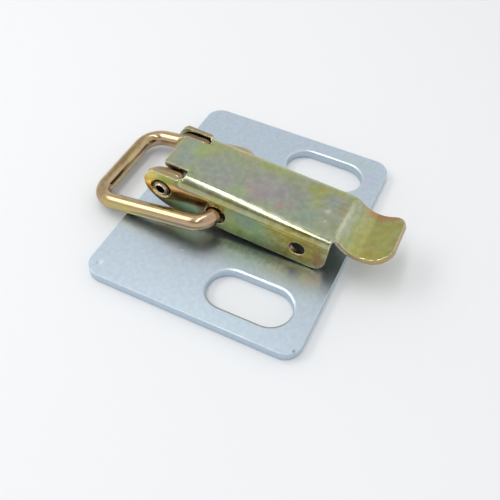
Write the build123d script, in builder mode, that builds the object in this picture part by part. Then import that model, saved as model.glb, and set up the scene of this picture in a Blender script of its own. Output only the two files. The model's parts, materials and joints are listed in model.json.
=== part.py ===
from build123d import *
import os
from math import asin, atan2, cos, hypot, sin, sqrt

os.makedirs("parts", exist_ok=True)

# Over-centre draw latch on a slotted mounting plate.  Millimetres, +Z up.  The origin is the
# middle of the plate's underside.  The loop pulls towards -Y and the pull tab points to +Y.

# ---- mounting plate ----
plate_width = 80.0
plate_depth = 64.0
plate_thickness = 3.0
plate_corner_radius = 5.0
plate_edge_chamfer = 0.4
slot_length = 25.0
slot_width = 13.0
slot_side = 27.8  # slot centre from the plate's middle, along X
slot_back = 13.4  # slot centre behind the plate's middle, along Y
slot_edge_chamfer = 0.3

# ---- pivot: a tubular rivet along X ----
pivot_back = -23.0  # axis along Y, in front of the plate's middle
pivot_height = 9.4  # axis above the plate's top face
pivot_shank_diameter = 4.8
pivot_bore_diameter = 3.0
pivot_lip_diameter = 5.6
pivot_lip_thickness = 0.7
pivot_lip_chamfer = 0.25
pivot_lip_seat = 0.15  # how far the lip's back lies below the lever's side
running_clearance = 0.05  # radial, round every pin that turns or is riveted

# ---- base bracket: a folded U with two ears and a tail ----
bracket_sheet = 2.0
bracket_bend_radius = 1.0  # inside of the fold
bracket_side_clearance = 0.25  # to the lever, each side
ear_reach_front = 5.6
ear_reach_back = 5.5
ear_reach_up = 5.1
ear_front_radius = 5.4
ear_back_radius = 1.5
ear_slope_height = 6.2  # above the plate, where the ears' front edge starts to slope back
foot_setback = 7.1  # the bracket's foot starts this far behind the ears' front
tail_width = 15.0
tail_length = 28.0
tail_corner_radius = 4.0

# ---- base rivets: two solid rivets, flush under the plate ----
base_rivet_shank_diameter = 4.0
base_rivet_head_diameter = 7.6
base_rivet_head_height = 1.8
base_rivet_head_top_diameter = 5.4
base_rivet_tail_diameter = 7.0
base_rivet_first = 5.5  # behind the ears
base_rivet_pitch = 17.0

# ---- lever: a folded channel with a tongue, two ears and a pull tab ----
lever_width = 22.2
lever_sheet = 1.6
lever_bend_radius = 3.4  # outside of the fold
crown_height = 6.3  # top face above the pivot axis
skirt_depth = 6.2  # lower edge below the pivot axis
lever_length = 51.3  # pivot axis to the back edge of the sides
skirt_back_radius = 4.0
seat_gap = 0.28  # closed lever's lower back corner above the plate
nose_radius = 5.5  # ear's round front, centred over the pivot axis
nose_rise = 1.25  # its centre above the pivot axis
nose_corner_radius = 1.2
heel_radius = 12.6  # flatter curve from the nose down to the lower edge
ear_top = 5.9  # ear's top edge above the pivot axis
slit_back = 6.2  # closed end of the slits
tongue_width = 12.8
tongue_front = -1.6
tongue_corner_radius = 0.8
pivot_sink_diameter = 6.6
pivot_sink_angle = 110.0
loop_hole_diameter = 6.0
loop_hole_along = 17.6
loop_hole_up = -1.33
pin_hole_diameter = 4.5
pin_hole_along = 42.7
pin_hole_up = -0.83

# ---- pull tab ----
tab_neck_width = 18.0
tab_tip_width = 17.8
tab_neck_radius = 0.8
tab_near_corner_radius = 5.0
tab_far_corner_radius = 3.2
tab_flat = 0.1  # flat sheet behind the sides before the tab turns down
tab_down_radius = 2.6  # middle of the sheet
tab_down_angle = 37.0
tab_slope = 0.8
tab_up_radius = 9.0  # middle of the sheet
tab_up_angle = 63.0
tab_tip_flat = 4.8

# ---- loop: a round wire bail ----
wire_diameter = 4.76
loop_width = 31.8  # between the legs' centres
loop_reach = 37.84  # pin axis to the bar's centre
loop_corner_radius = 6.1  # wire centre line
hook_radius = 4.8  # wire centre line, leg to pin
pin_inner = 7.0  # pins' inner ends from the middle
pin_front_gap = 0.25  # pin's front to the front of its hole
leg_gap = 0.35  # legs above the plate's front edge

# ---- places that follow from the sizes ----
plate_top = plate_thickness
plate_front = -plate_depth / 2
pivot_z = plate_top + pivot_height
lever_half = lever_width / 2
lever_inside = lever_half - lever_sheet
bracket_half = lever_inside - bracket_side_clearance
ear_front = pivot_back - ear_reach_front
ear_back = pivot_back + ear_reach_back
ear_length = ear_reach_front + ear_reach_back
ear_height = pivot_height + ear_reach_up
base_rivet_rows = [ear_back + base_rivet_first, ear_back + base_rivet_first + base_rivet_pitch]

# the closed lever leans back until its lower back corner is seat_gap above the plate
corner_along = lever_length - skirt_back_radius
corner_down = skirt_depth - skirt_back_radius
corner_drop = pivot_height - skirt_back_radius - seat_gap
lean = asin(corner_drop / hypot(corner_along, corner_down)) - atan2(corner_down, corner_along)
back_dir = Vector(0, cos(lean), -sin(lean))
up_dir = Vector(0, sin(lean), cos(lean))
pivot_point = Vector(0, pivot_back, pivot_z)
side_plane = Plane(origin=pivot_point, x_dir=back_dir, z_dir=(1, 0, 0))
crown_plane = Plane(origin=pivot_point, x_dir=(1, 0, 0), z_dir=up_dir)
slit_plane = Plane(origin=pivot_point + back_dir * slit_back, x_dir=(-1, 0, 0), z_dir=back_dir)

# the pins lie against the front of their holes, and the legs slope down past the plate's edge
pin_forward = (loop_hole_diameter - wire_diameter) / 2 - pin_front_gap
pin_point = pivot_point + back_dir * (loop_hole_along - pin_forward) + up_dir * loop_hole_up
edge_run = pin_point.Y - plate_front
edge_drop = pin_point.Z - plate_top
leg_clear = wire_diameter / 2 + leg_gap
slope = atan2(edge_drop, edge_run) - asin(leg_clear / hypot(edge_run, edge_drop))
loop_plane = Plane(origin=pin_point, x_dir=(1, 0, 0), z_dir=(0, -sin(slope), cos(slope)))

# ---- mounting plate ----
with BuildPart() as mounting_plate:
    with BuildSketch(Plane.XY):
        RectangleRounded(plate_width, plate_depth, plate_corner_radius)
    extrude(amount=plate_thickness)
    chamfer(mounting_plate.faces().sort_by(Axis.Z)[-1].edges(), length=plate_edge_chamfer)
    with BuildSketch(Plane.XY):
        with Locations((-slot_side, slot_back), (slot_side, slot_back)):
            SlotOverall(slot_length, slot_width, rotation=90)
    extrude(amount=plate_thickness, mode=Mode.SUBTRACT)
    slot_rims = mounting_plate.faces().sort_by(Axis.Z)[-1].inner_wires()
    chamfer([edge for rim in slot_rims for edge in rim.edges()], length=slot_edge_chamfer)
    with Locations([Plane(origin=(0, row, 0), z_dir=(0, 0, -1)) for row in base_rivet_rows]):
        CounterSinkHole(
            radius=base_rivet_shank_diameter / 2 + running_clearance,
            counter_sink_radius=base_rivet_tail_diameter / 2 + running_clearance,
            depth=plate_thickness,
            counter_sink_angle=90,
        )
mounting_plate.part.label = "mounting_plate"
export_step(mounting_plate.part, "parts/mounting_plate.step")

# ---- base bracket ----
bracket_section_plane = Plane(origin=(0, ear_front, plate_top), x_dir=(-1, 0, 0), z_dir=(0, 1, 0))
with BuildPart() as base_bracket:
    with BuildSketch(bracket_section_plane):
        with BuildLine():
            FilletPolyline(
                (-bracket_half + bracket_sheet / 2, ear_height),
                (-bracket_half + bracket_sheet / 2, bracket_sheet / 2),
                (bracket_half - bracket_sheet / 2, bracket_sheet / 2),
                (bracket_half - bracket_sheet / 2, ear_height),
                radius=bracket_bend_radius + bracket_sheet / 2,
            )
        trace(line_width=bracket_sheet)
    extrude(amount=ear_length)
    ear_tops = base_bracket.faces().sort_by(Axis.Z)[-2:].edges().filter_by(Axis.X)
    fillet(ear_tops.sort_by(Axis.Y)[:2], radius=ear_front_radius)
    fillet(ear_tops.sort_by(Axis.Y)[2:], radius=ear_back_radius)
    # the ears' front edge slopes back to the foot
    with BuildSketch(Plane.YZ):
        with BuildLine():
            Polyline(
                (ear_front, plate_top + ear_slope_height),
                (ear_front + foot_setback, plate_top + bracket_sheet),
                (ear_front + foot_setback, plate_top),
                (ear_front, plate_top),
                close=True,
            )
        make_face()
    extrude(amount=bracket_half, both=True, mode=Mode.SUBTRACT)
    with BuildSketch(Plane.XY.offset(plate_top)) as tail:
        with Locations((0, ear_back - ear_reach_back)):
            Rectangle(tail_width, tail_length + ear_reach_back, align=(Align.CENTER, Align.MIN))
        fillet(tail.vertices().group_by(Axis.Y)[-1], radius=tail_corner_radius)
    extrude(amount=bracket_sheet)
    with Locations([(0, row, plate_top + bracket_sheet) for row in base_rivet_rows]):
        Hole(radius=base_rivet_shank_diameter / 2 + running_clearance)
    with BuildSketch(Plane(origin=pivot_point, z_dir=(1, 0, 0))):
        Circle(pivot_shank_diameter / 2 + running_clearance)
    extrude(amount=lever_half, both=True, mode=Mode.SUBTRACT)
base_bracket.part.label = "base_bracket"
export_step(base_bracket.part, "parts/base_bracket.step")

# ---- base rivets ----
shank_length = plate_thickness + bracket_sheet
tail_height = (base_rivet_tail_diameter - base_rivet_shank_diameter) / 2
with BuildPart() as base_rivets:
    with Locations([(0, row, 0) for row in base_rivet_rows]):
        Cylinder(
            base_rivet_shank_diameter / 2,
            shank_length,
            align=(Align.CENTER, Align.CENTER, Align.MIN),
        )
        Cone(
            base_rivet_tail_diameter / 2,
            base_rivet_shank_diameter / 2,
            tail_height,
            align=(Align.CENTER, Align.CENTER, Align.MIN),
        )
    with Locations([(0, row, shank_length) for row in base_rivet_rows]):
        Cone(
            base_rivet_head_diameter / 2,
            base_rivet_head_top_diameter / 2,
            base_rivet_head_height,
            align=(Align.CENTER, Align.CENTER, Align.MIN),
        )
base_rivets.part.label = "base_rivets"
export_step(base_rivets.part, "parts/base_rivets.step")

# ---- pivot rivet: a tube rolled over at both ends ----
lip_back = lever_half - pivot_lip_seat
lip_front = lip_back + pivot_lip_thickness
with BuildPart() as pivot_rivet:
    with BuildSketch(Plane(origin=pivot_point, x_dir=(1, 0, 0), z_dir=(0, -1, 0))) as rivet_wall:
        with BuildLine():
            Polyline(
                (-lip_front, pivot_bore_diameter / 2),
                (lip_front, pivot_bore_diameter / 2),
                (lip_front, pivot_lip_diameter / 2),
                (lip_back, pivot_lip_diameter / 2),
                (lip_back, pivot_shank_diameter / 2),
                (-lip_back, pivot_shank_diameter / 2),
                (-lip_back, pivot_lip_diameter / 2),
                (-lip_front, pivot_lip_diameter / 2),
                close=True,
            )
        make_face()
        lip_rims = rivet_wall.vertices().group_by(Axis.Y)[-1]
        chamfer([lip_rims.sort_by(Axis.X)[0], lip_rims.sort_by(Axis.X)[-1]], length=pivot_lip_chamfer)
    revolve(axis=Axis(pivot_point, (1, 0, 0)))
pivot_rivet.part.label = "pivot_rivet"
export_step(pivot_rivet.part, "parts/pivot_rivet.step")

# ---- lever ----
bend_start = crown_height - lever_bend_radius
fold_middle = lever_half - lever_sheet / 2
fold_radius = lever_bend_radius - lever_sheet / 2
nose_start = -sqrt(nose_radius**2 - (ear_top - nose_rise) ** 2)
heel_up = heel_radius - skirt_depth
heel_along = sqrt((heel_radius - nose_radius) ** 2 - (heel_up - nose_rise) ** 2)
meet_angle = atan2(nose_rise - heel_up, -heel_along)
meet_along = nose_radius * cos(meet_angle)
meet_up = nose_rise + nose_radius * sin(meet_angle)
with BuildPart() as lever:
    # the pull tab: the crown's sheet carried on, turned down and curled up again
    with BuildSketch(side_plane) as tab:
        with BuildLine():
            run = Line(
                (lever_length, crown_height - lever_sheet / 2),
                (lever_length + tab_flat, crown_height - lever_sheet / 2),
            )
            down = JernArc(run @ 1, run % 1, tab_down_radius, -tab_down_angle)
            ramp = PolarLine(down @ 1, tab_slope, direction=down % 1)
            curl = JernArc(ramp @ 1, ramp % 1, tab_up_radius, tab_up_angle)
            PolarLine(curl @ 1, tab_tip_flat, direction=curl % 1)
        trace(line_width=lever_sheet)
    extrude(amount=lever_half, both=True)
    tab_end = tab.vertices().sort_by(Axis.X)[-1].X
    # its outline from above: a concave neck, a slight taper and rounded corners at the tip
    with BuildSketch(crown_plane) as outline:
        with BuildLine():
            Polyline(
                (-lever_half, lever_length - lever_sheet),
                (-lever_half, lever_length),
                (-tab_neck_width / 2, lever_length),
                (-tab_tip_width / 2, tab_end),
                (tab_tip_width / 2, tab_end),
                (tab_neck_width / 2, lever_length),
                (lever_half, lever_length),
                (lever_half, lever_length - lever_sheet),
                close=True,
            )
        make_face()
        neck = outline.vertices().filter_by_position(Axis.X, -lever_half + 0.01, lever_half - 0.01)
        fillet(neck.group_by(Axis.Y)[0], radius=tab_neck_radius)
        far_corner = outline.vertices().sort_by_distance((-tab_tip_width / 2, tab_end))[0]
        fillet(far_corner, radius=tab_far_corner_radius)
        near_corner = outline.vertices().sort_by_distance((tab_tip_width / 2, tab_end))[0]
        fillet(near_corner, radius=tab_near_corner_radius)
    extrude(amount=lever_width, both=True, mode=Mode.INTERSECT)
    # the neck keeps the folds' rounded shoulders
    with BuildSketch(slit_plane.offset(lever_length - slit_back)):
        Rectangle(2 * lever_width, 4 * crown_height)
        RectangleRounded(lever_width, 2 * crown_height, lever_bend_radius, mode=Mode.SUBTRACT)
    extrude(amount=tab_end, mode=Mode.SUBTRACT)
    # the crown and its two folds
    with BuildSketch(slit_plane):
        with BuildLine():
            left_fold = JernArc((-fold_middle, bend_start), (0, 1), fold_radius, -90)
            crown = Line(left_fold @ 1, (fold_middle - fold_radius, crown_height - lever_sheet / 2))
            JernArc(crown @ 1, (1, 0), fold_radius, -90)
        trace(line_width=lever_sheet)
    extrude(amount=lever_length - slit_back)
    # the tongue between the slits
    with BuildSketch(crown_plane.offset(crown_height - lever_sheet)) as tongue:
        with Locations((0, tongue_front)):
            Rectangle(tongue_width, slit_back - tongue_front, align=(Align.CENTER, Align.MIN))
        fillet(tongue.vertices().group_by(Axis.Y)[0], radius=tongue_corner_radius)
    extrude(amount=lever_sheet)
    # one side, its outline running round the nose, along the lower edge and up to the fold
    with BuildSketch(side_plane.offset(lever_inside)) as side:
        with BuildLine():
            top_edge = Line((slit_back, ear_top), (nose_start, ear_top))
            nose = ThreePointArc(top_edge @ 1, (-nose_radius, nose_rise), (meet_along, meet_up))
            heel = TangentArc(nose @ 1, (heel_along, -skirt_depth), tangent=nose % 1)
            Polyline(
                heel @ 1,
                (lever_length, -skirt_depth),
                (lever_length, bend_start),
                (slit_back, bend_start),
                top_edge @ 0,
            )
        make_face()
        fillet(side.vertices().sort_by_distance((nose_start, ear_top))[0], radius=nose_corner_radius)
        back_corner = side.vertices().sort_by_distance((lever_length, -skirt_depth))[0]
        fillet(back_corner, radius=skirt_back_radius)
        with Locations((loop_hole_along, loop_hole_up)):
            Circle(loop_hole_diameter / 2, mode=Mode.SUBTRACT)
        with Locations((pin_hole_along, pin_hole_up)):
            Circle(pin_hole_diameter / 2, mode=Mode.SUBTRACT)
    side_sheet = extrude(amount=lever_sheet)
    mirror(side_sheet, about=Plane.YZ)
    # the pivot holes, countersunk outside
    with Locations(
        Plane(origin=pivot_point + Vector(lever_half, 0, 0), z_dir=(1, 0, 0)),
        Plane(origin=pivot_point - Vector(lever_half, 0, 0), z_dir=(-1, 0, 0)),
    ):
        CounterSinkHole(
            radius=pivot_shank_diameter / 2 + running_clearance,
            counter_sink_radius=pivot_sink_diameter / 2,
            depth=lever_sheet,
            counter_sink_angle=pivot_sink_angle,
        )
lever.part.label = "lever"
export_step(lever.part, "parts/lever.step")

# ---- loop ----
with BuildPart() as loop:
    with BuildLine(loop_plane) as wire_line:
        FilletPolyline(
            (pin_inner, 0),
            (loop_width / 2, 0),
            (loop_width / 2, -loop_reach),
            (-loop_width / 2, -loop_reach),
            (-loop_width / 2, 0),
            (-pin_inner, 0),
            radius=[hook_radius, loop_corner_radius, loop_corner_radius, hook_radius],
        )
    with BuildSketch(Plane(origin=wire_line.line @ 0, z_dir=wire_line.line % 0)):
        Circle(wire_diameter / 2)
    sweep()
loop.part.label = "loop"
export_step(loop.part, "parts/loop.step")
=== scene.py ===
import json
import math

import bpy
import numpy as np
from mathutils import Matrix, Vector
from mathutils.geometry import delaunay_2d_cdt


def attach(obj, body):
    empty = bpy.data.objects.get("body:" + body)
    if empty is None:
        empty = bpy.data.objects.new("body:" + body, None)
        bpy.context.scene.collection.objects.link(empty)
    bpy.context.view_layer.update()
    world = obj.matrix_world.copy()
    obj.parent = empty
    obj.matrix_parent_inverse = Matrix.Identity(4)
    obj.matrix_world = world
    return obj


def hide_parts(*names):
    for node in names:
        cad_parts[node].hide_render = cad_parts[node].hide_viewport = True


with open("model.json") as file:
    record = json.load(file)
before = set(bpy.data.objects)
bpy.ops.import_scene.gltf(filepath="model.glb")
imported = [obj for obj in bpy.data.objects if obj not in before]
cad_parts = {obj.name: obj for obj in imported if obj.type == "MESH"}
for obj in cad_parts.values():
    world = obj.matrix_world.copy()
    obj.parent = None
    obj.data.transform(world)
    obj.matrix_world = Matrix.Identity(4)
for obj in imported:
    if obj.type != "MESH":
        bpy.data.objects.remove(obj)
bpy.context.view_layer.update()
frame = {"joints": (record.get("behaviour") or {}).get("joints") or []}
mm = 0.001
collection = bpy.context.scene.collection
hinges = {joint["name"]: tuple(round(v / mm, 3) for v in joint["pos_m"]) for joint in frame["joints"]}  # mm
print("frame loaded")


def srgb(r, g, b):  # an 8-bit screen colour as linear light
    return tuple(((v / 255 + 0.055) / 1.055) ** 2.4 if v > 10 else v / 255 / 12.92 for v in (r, g, b))


cameraView = {
    "place": (120.753, 51.623, 144.277),  # mm
    "target": (14.311, 7.138, 5.0),  # mm
    "roll": 3.53,  # degrees
    "lens": 46.36,
    "sensor": 36.0,
}


def addCamera(s):  # looks from place to target, rolled about its line of sight
    data = bpy.data.cameras.new("camera")
    data.lens, data.sensor_width = s["lens"], s["sensor"]
    data.clip_start, data.clip_end = 0.01, 20
    camera = bpy.data.objects.new("camera", data)
    collection.objects.link(camera)
    place, target = Vector(s["place"]) * mm, Vector(s["target"]) * mm
    turn = (target - place).to_track_quat("-Z", "Y").to_matrix().to_4x4()
    camera.matrix_world = Matrix.Translation(place) @ turn @ Matrix.Rotation(math.radians(s["roll"]), 4, "Z")
    bpy.context.scene.camera = camera


addCamera(cameraView)

studio = {
    # towards: where a lamp lies from the object; side: how its first size runs; size in metres;
    # brightness: 1 is a lit white
    "lamps": {
        "frontBox": {
            "towards": (0.20, -0.645, 0.74), "side": (1, 0, 0),
            "size": (0.40, 0.18), "brightness": 2.9,
        },
        "topStrip": {
            "towards": (0.20, -0.16, 0.967), "side": (0.876, 0.223, -0.163),
            "size": (0.68, 0.042), "brightness": 8.0,
        },
        "rearBox": {
            "towards": (-0.57, 0.38, 0.73), "side": (0, 1, 0),
            "size": (0.40, 0.36), "brightness": 0.16,
        },
    },
    "distance": 0.6,  # metres
    "tent": ((0.0, 0.92), (0.25, 0.84), (0.6, 0.72), (0.8, 0.74), (1.0, 0.76)),  # (sine of the height, level)
    "gap": {"towards": (0.62, -0.06, 0.78), "cosines": (0.84, 0.96), "loss": 0.55},  # the tent's open side
    "tint": (0.985, 1.0, 1.02),
    "floor": (0.915, 0.922, 0.925), "floorRough": 0.8, "floorGloss": 0.2,
    "floorHalf": 1.6,  # metres
}


def setStops(ramp, stops):  # gives a colour ramp its stops, each a place and a colour
    while len(ramp.color_ramp.elements) < len(stops):
        ramp.color_ramp.elements.new(0.5)
    for stop, (place, color) in zip(ramp.color_ramp.elements, stops):
        stop.position, stop.color = place, (*color, 1)


def addLamp(name, s):  # a lit panel that faces the object, with its first size along its side
    outward = Vector(s["towards"]).normalized()
    side = Vector(s["side"])
    side = (side - outward * side.dot(outward)).normalized()
    data = bpy.data.lights.new(name, "AREA")
    data.shape = "RECTANGLE"
    data.size, data.size_y = s["size"]
    data.energy = s["brightness"] * math.pi * data.size * data.size_y
    lamp = bpy.data.objects.new(name, data)
    turn = Matrix((side, outward.cross(side), outward)).transposed().to_4x4()
    lamp.matrix_world = Matrix.Translation(outward * studio["distance"]) @ turn
    collection.objects.link(lamp)


def addTent(s):  # a lit tent whose level changes with the height above the horizon, darker at its open side
    world = bpy.data.worlds.new("tent")
    bpy.context.scene.world = world
    world.use_nodes = True
    tree = world.node_tree
    tree.nodes.clear()
    coord = tree.nodes.new("ShaderNodeTexCoord")
    split = tree.nodes.new("ShaderNodeSeparateXYZ")
    ramp = tree.nodes.new("ShaderNodeValToRGB")
    tent = tree.nodes.new("ShaderNodeBackground")
    out = tree.nodes.new("ShaderNodeOutputWorld")
    setStops(ramp, [(height, [level * t for t in s["tint"]]) for height, level in s["tent"]])
    tree.links.new(coord.outputs["Generated"], split.inputs[0])
    tree.links.new(split.outputs["Z"], ramp.inputs[0])
    facing = tree.nodes.new("ShaderNodeVectorMath")
    facing.operation = "DOT_PRODUCT"
    facing.inputs[1].default_value = Vector(s["gap"]["towards"]).normalized()
    tree.links.new(coord.outputs["Generated"], facing.inputs[0])
    opening = tree.nodes.new("ShaderNodeMapRange")
    opening.interpolation_type = "SMOOTHSTEP"
    opening.inputs["From Min"].default_value, opening.inputs["From Max"].default_value = s["gap"]["cosines"]
    opening.inputs["To Min"].default_value = 1.0
    opening.inputs["To Max"].default_value = 1.0 - s["gap"]["loss"]
    tree.links.new(facing.outputs["Value"], opening.inputs["Value"])
    tree.links.new(ramp.outputs[0], tent.inputs["Color"])
    tree.links.new(opening.outputs[0], tent.inputs["Strength"])
    tree.links.new(tent.outputs[0], out.inputs[0])


def addFloor(s):  # a pale level square under the part
    h = s["floorHalf"]
    mesh = bpy.data.meshes.new("floor")
    mesh.from_pydata([(-h, -h, 0), (h, -h, 0), (h, h, 0), (-h, h, 0)], [], [(0, 1, 2, 3)])
    floor = bpy.data.objects.new("floor", mesh)
    collection.objects.link(floor)
    material = bpy.data.materials.new("paleFloor")
    material.use_nodes = True
    shader = material.node_tree.nodes["Principled BSDF"]
    shader.inputs["Base Color"].default_value = (*s["floor"], 1)
    shader.inputs["Roughness"].default_value = s["floorRough"]
    shader.inputs["Specular IOR Level"].default_value = s["floorGloss"]
    mesh.materials.append(material)


for lampName, lampSettings in studio["lamps"].items():
    addLamp(lampName, lampSettings)
addTent(studio)
addFloor(studio)
print("camera and studio in place")

surfaceEffects = {
    "stainFade": (0.1, 1.3),  # where a stain starts to fade and where it ends, 1 being its reach
    "driftStops": (  # noise value, tint
        (0.30, (0.90, 1.00, 1.14)),
        (0.40, (0.94, 1.05, 0.92)),
        (0.49, (1.05, 1.06, 0.84)),
        (0.56, (1.10, 0.95, 0.98)),
        (0.63, (0.98, 0.96, 1.12)),
        (0.74, (0.94, 1.05, 0.98)),
    ),
    "patchScale": 0.14, "patchHeight": 0.8,  # the broad patches' share of the fine grain's scale and height
    "patchRange": (0.3, 0.7), "heightRange": (0.6, 1.2),  # the usual values of the patches and of the grain
    "speckSize": 0.38, "speckEdge": 0.12,  # in cells
    "wearNoise": (0.3, 0.6), "leastWear": 0.35,
}


def newGroup(name, inputs, outputs):  # inputs: name, socket kind, default
    tree = bpy.data.node_groups.new(name, "ShaderNodeTree")
    for label, kind, default in inputs:
        socket = tree.interface.new_socket(name=label, in_out="INPUT", socket_type="NodeSocket" + kind)
        if default is not None:
            socket.default_value = default
    for label, kind in outputs:
        tree.interface.new_socket(name=label, in_out="OUTPUT", socket_type="NodeSocket" + kind)
    return tree, tree.nodes.new("NodeGroupInput"), tree.nodes.new("NodeGroupOutput")


def feed(tree, node, links):  # joins sockets, and writes plain values, into a node's inputs
    for key, value in links.items():
        if isinstance(value, bpy.types.NodeSocket):
            tree.links.new(value, node.inputs[key])
        else:
            node.inputs[key].default_value = value
    return node


def put(tree, kind, links, **values):  # a node with its plain settings and its inputs
    node = tree.nodes.new("ShaderNode" + kind)
    for key, value in values.items():
        setattr(node, key, value)
    return feed(tree, node, links)


def putGroup(tree, group, links):  # a surface effect placed in a material with its own values
    node = tree.nodes.new("ShaderNodeGroup")
    node.node_tree = group
    return feed(tree, node, links)


def mathNode(tree, operation, a, b=0.0, clamp=False):  # clamp holds the answer between 0 and 1
    return put(tree, "Math", {0: a, 1: b}, operation=operation, use_clamp=clamp).outputs[0]


def noiseNode(tree, point, scale, detail, roughness=0.5):  # soft cloudy noise at the given points
    links = {"Vector": point, "Scale": scale, "Detail": detail, "Roughness": roughness}
    return put(tree, "TexNoise", links)


def spread(tree, value, low, high, start=0.0, end=1.0):  # low..high becomes start..end, held at both ends
    links = {"Value": value, "From Min": low, "From Max": high, "To Min": start, "To Max": end}
    return put(tree, "MapRange", links, interpolation_type="SMOOTHSTEP").outputs[0]


def mixColor(tree, factor, a, b, blend="MIX"):  # a and b are colours or colour sockets
    a, b = [v if isinstance(v, bpy.types.NodeSocket) else (*v, 1) for v in (a, b)]
    return put(tree, "Mix", {0: factor, 6: a, 7: b}, data_type="RGBA", blend_type=blend).outputs[2]


def makeWander():  # soft noise as a colour, whose three parts push a pattern's points about
    tree, given, out = newGroup(
        "wander", [("Point", "Vector", None), ("Scale", "Float", 300.0)], [("Push", "Color")]
    )
    noise = noiseNode(tree, given.outputs[0], given.outputs[1], 4.0, 0.6)
    tree.links.new(noise.outputs["Color"], out.inputs[0])
    return tree


def makeStain():  # Amount at Centre, falling softly to 0 at the border of an ellipsoid, with a ragged border
    tree, given, out = newGroup(
        "filmStain",
        [
            ("Point", "Vector", None), ("Centre", "Vector", None), ("Reach", "Vector", None),
            ("Rag", "Float", 0.0), ("Amount", "Float", 1.0),
        ],
        [("Mask", "Float")],
    )
    offset = put(tree, "VectorMath", {0: given.outputs[0], 1: given.outputs[1]}, operation="SUBTRACT")
    scaled = put(tree, "VectorMath", {0: offset.outputs[0], 1: given.outputs[2]}, operation="DIVIDE")
    far = put(tree, "VectorMath", {0: scaled.outputs[0]}, operation="LENGTH").outputs["Value"]
    ragged = mathNode(tree, "ADD", far, given.outputs[3])
    fall = spread(tree, ragged, *surfaceEffects["stainFade"], 1.0, 0.0)
    tree.links.new(mathNode(tree, "MULTIPLY", fall, given.outputs[4]), out.inputs[0])
    return tree


def makeDrift():  # the film's interference tints drifting round white, as a factor for a plated colour
    tree, given, out = newGroup(
        "filmDrift",
        [("Point", "Vector", None), ("Scale", "Float", 220.0), ("Strength", "Float", 0.5)],
        [("Color", "Color")],
    )
    noise = noiseNode(tree, given.outputs[0], given.outputs[1], 5.0, 0.62)
    ramp = put(tree, "ValToRGB", {0: noise.outputs["Fac"]})
    setStops(ramp, surfaceEffects["driftStops"])
    tree.links.new(mixColor(tree, given.outputs[2], (1, 1, 1), ramp.outputs[0]), out.inputs[0])
    return tree


def makeGrain():  # the fine uneven surface of a rolled and plated sheet: its height, and its broader patches
    tree, given, out = newGroup(
        "sheetGrain",
        [("Point", "Vector", None), ("Scale", "Float", 4000.0)],
        [("Height", "Float"), ("Patch", "Float")],
    )
    fine = noiseNode(tree, given.outputs[0], given.outputs[1], 3.0, 0.6)
    wide = mathNode(tree, "MULTIPLY", given.outputs[1], surfaceEffects["patchScale"])
    broad = noiseNode(tree, given.outputs[0], wide, 2.0).outputs["Fac"]
    lift = mathNode(tree, "MULTIPLY", broad, surfaceEffects["patchHeight"])
    tree.links.new(mathNode(tree, "ADD", fine.outputs["Fac"], lift), out.inputs[0])
    tree.links.new(broad, out.inputs[1])
    return tree


def makeSpecks():  # small scattered spots, each a cell's own size
    tree, given, out = newGroup(
        "specks",
        [("Point", "Vector", None), ("Scale", "Float", 1200.0), ("Share", "Float", 0.1)],
        [("Mask", "Float")],
    )
    cells = put(tree, "TexVoronoi", {"Vector": given.outputs[0], "Scale": given.outputs[1]})
    pick = put(tree, "SeparateColor", {0: cells.outputs["Color"]})
    chosen = mathNode(tree, "LESS_THAN", pick.outputs[0], given.outputs[2])
    size = mathNode(tree, "MULTIPLY", pick.outputs[1], surfaceEffects["speckSize"])
    depth = mathNode(tree, "SUBTRACT", size, cells.outputs["Distance"])
    inside = spread(tree, depth, 0.0, surfaceEffects["speckEdge"])
    tree.links.new(mathNode(tree, "MULTIPLY", chosen, inside), out.inputs[0])
    return tree


def makeEdgeWear():  # rubbed edges: the piece's own edge mark, broken up by noise
    tree, given, out = newGroup(
        "edgeWear",
        [("Edge", "Float", 0.0), ("Point", "Vector", None), ("Scale", "Float", 900.0)],
        [("Mask", "Float")],
    )
    noise = noiseNode(tree, given.outputs[1], given.outputs[2], 4.0).outputs["Fac"]
    broken = spread(tree, noise, *surfaceEffects["wearNoise"], surfaceEffects["leastWear"], 1.0)
    tree.links.new(mathNode(tree, "MULTIPLY", given.outputs[0], broken, True), out.inputs[0])
    return tree


groups = {
    "wander": makeWander(),
    "stain": makeStain(),
    "drift": makeDrift(),
    "grain": makeGrain(),
    "specks": makeSpecks(),
    "edgeWear": makeEdgeWear(),
}
print("surface effects built")

sheetDrawing = {
    "arcStep": 8,  # degrees in one piece of a fillet
    "shortest": 1e-5,  # mm; a shorter run is left out
    "guard": 0.12,  # mm; how far inside its rim a border's last row lies
    "clear": 0.2,  # mm; how far the inner points keep from the borders
    "same": 1e-7,  # mm; points nearer than this are one
    "dieOut": 0.999,  # how much of a fold is gone where it dies out
}


def softStep(x, low, high):  # 0 up to low, 1 from high on, and part * part * (3 - 2 * part) between them
    part = np.clip((x - low) / (high - low), 0, 1)
    return part * part * (3 - 2 * part)


def arcPoints(centre, radius, start, end, count):
    # points centre + radius * (cos(t), sin(t)) of a drawn arc, as corners without a fillet
    turns = np.radians(np.linspace(start, end, count))
    return [(centre[0] + radius * math.cos(t), centre[1] + radius * math.sin(t), 0) for t in turns]


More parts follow.
